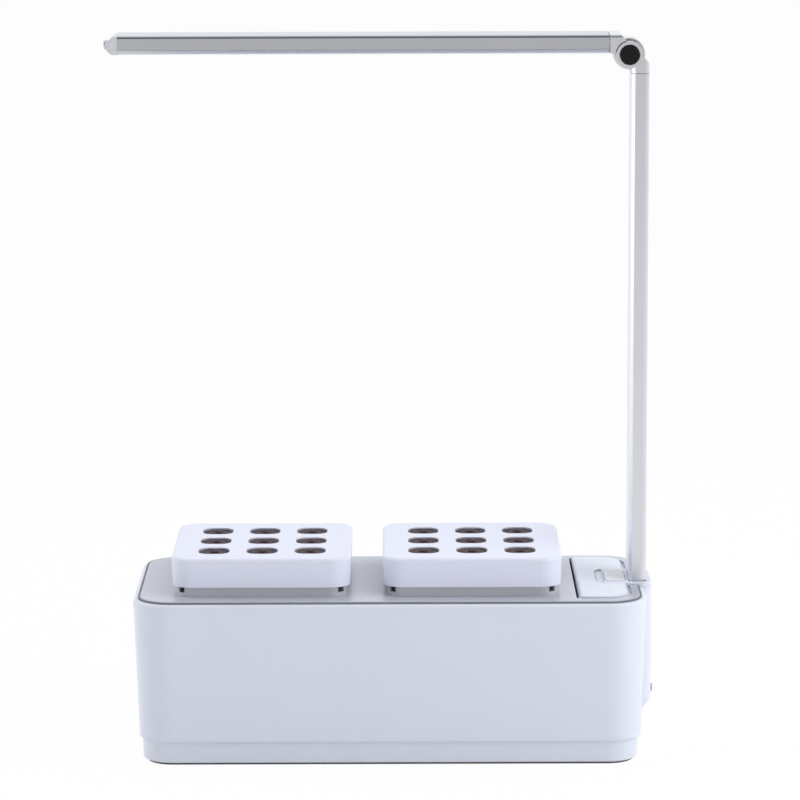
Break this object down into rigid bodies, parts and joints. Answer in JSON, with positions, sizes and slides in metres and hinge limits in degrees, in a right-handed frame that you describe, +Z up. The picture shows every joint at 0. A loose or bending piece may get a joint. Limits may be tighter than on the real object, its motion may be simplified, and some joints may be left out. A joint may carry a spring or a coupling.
{
  "type": "countertop hydroponic garden",
  "caption": "Countertop hydroponic planter: a rounded water basin with planting baskets under square caps, a hinged fill hatch, a push button and a folding grow lamp on a post.",
  "frame": {"origin": "centre of the foot ring, on the surface that the garden stands on", "axes": "+Z up; +X along the basin towards the lamp post; -Y towards the viewer, the side of the hinge knob"},
  "size_m": [0.311, 0.1288, 0.4078],
  "materials": {
    "shell_plastic": "satin moulded plastic",
    "deck_plastic": "fine satin plastic",
    "lid_plastic": "satin moulded plastic",
    "basket_plastic": "grey moulded plastic",
    "grid_plastic": "dark moulded plastic",
    "growing_medium": "open brown sponge",
    "tank_plastic": "moulded plastic",
    "seal_rubber": "matt rubber",
    "steel": "plain steel",
    "button_plastic": "matt plastic",
    "switch_plastic": "black plastic",
    "board": "lacquered board",
    "inlet_plastic": "grey plastic socket",
    "contact_brass": "bright",
    "lead_sleeve": "black sleeve",
    "bar_aluminium": "fine anodised",
    "hinge_metal": "bead-blasted",
    "knob_plastic": "black ribbed plastic",
    "washer_plastic": "friction plastic",
    "opal_plastic": "opal",
    "lamp_board": "white lacquer",
    "light_chip": "phosphor",
    "cap_plastic": "satin moulded plastic"
  },
  "bodies": {
    "base": {"housing": "shell_plastic", "bottom_tray": "shell_plastic", "foot_ring": "seal_rubber", "tray_screws": "steel", "water_tank": "tank_plastic", "deck": "deck_plastic", "deck_seal": "seal_rubber", "hatch_pin": "steel", "control_cover": "shell_plastic", "tact_switch": "switch_plastic", "control_board": "board", "board_screws": "steel", "dc_inlet": "inlet_plastic", "dc_inlet_pin": "contact_brass", "inlet_lead": "lead_sleeve", "lamp_lead": "lead_sleeve", "post": "bar_aluminium", "post_screws": "steel", "post_knuckle": "hinge_metal", "hinge_bolt": "steel", "hinge_nut": "steel", "hinge_washers": "washer_plastic", "hinge_knob": "knob_plastic"},
    "arm": {"arm_knuckle": "hinge_metal", "lamp_profile": "bar_aluminium", "diffuser": "opal_plastic", "led_board": "lamp_board", "led_chips": "light_chip", "arm_end_cap": "cap_plastic", "arm_lead": "lead_sleeve"},
    "hatch": {"fill_hatch": "shell_plastic"},
    "button": {"power_button": "button_plastic", "switch_plunger": "switch_plastic"},
    "planter_left": {"basket_left": "basket_plastic", "plug_grid_left": "grid_plastic", "plugs_left": "growing_medium"},
    "cap_left": {"lid_left": "lid_plastic"},
    "planter_right": {"basket_right": "basket_plastic", "plug_grid_right": "grid_plastic", "plugs_right": "growing_medium"},
    "cap_right": {"lid_right": "lid_plastic"}
  },
  "joints": [
    {"name": "lamp_hinge", "type": "hinge", "parent": "base", "child": "arm", "pos_m": [0.1351, 0, 0.3966], "axis": [0, 1, 0], "range_deg": [-68, 90]},
    {"name": "hatch_hinge", "type": "hinge", "parent": "base", "child": "hatch", "pos_m": [0.1089, 0, 0.0933], "axis": [0, -1, 0], "range_deg": [0, 95]},
    {"name": "button_press", "type": "slide", "parent": "base", "child": "button", "axis": [0, 0, -1], "range_m": [0, 0.0008], "stiffness_N_per_m": 1500, "springref_m": -0.001},
    {"name": "planter_left_lift", "type": "slide", "parent": "base", "child": "planter_left", "axis": [0, 0, 1], "range_m": [0, 0.05]},
    {"name": "cap_left_lift", "type": "slide", "parent": "planter_left", "child": "cap_left", "axis": [0, 0, 1], "range_m": [0, 0.03]},
    {"name": "planter_right_lift", "type": "slide", "parent": "base", "child": "planter_right", "axis": [0, 0, 1], "range_m": [0, 0.05]},
    {"name": "cap_right_lift", "type": "slide", "parent": "planter_right", "child": "cap_right", "axis": [0, 0, 1], "range_m": [0, 0.03]}
  ]
}
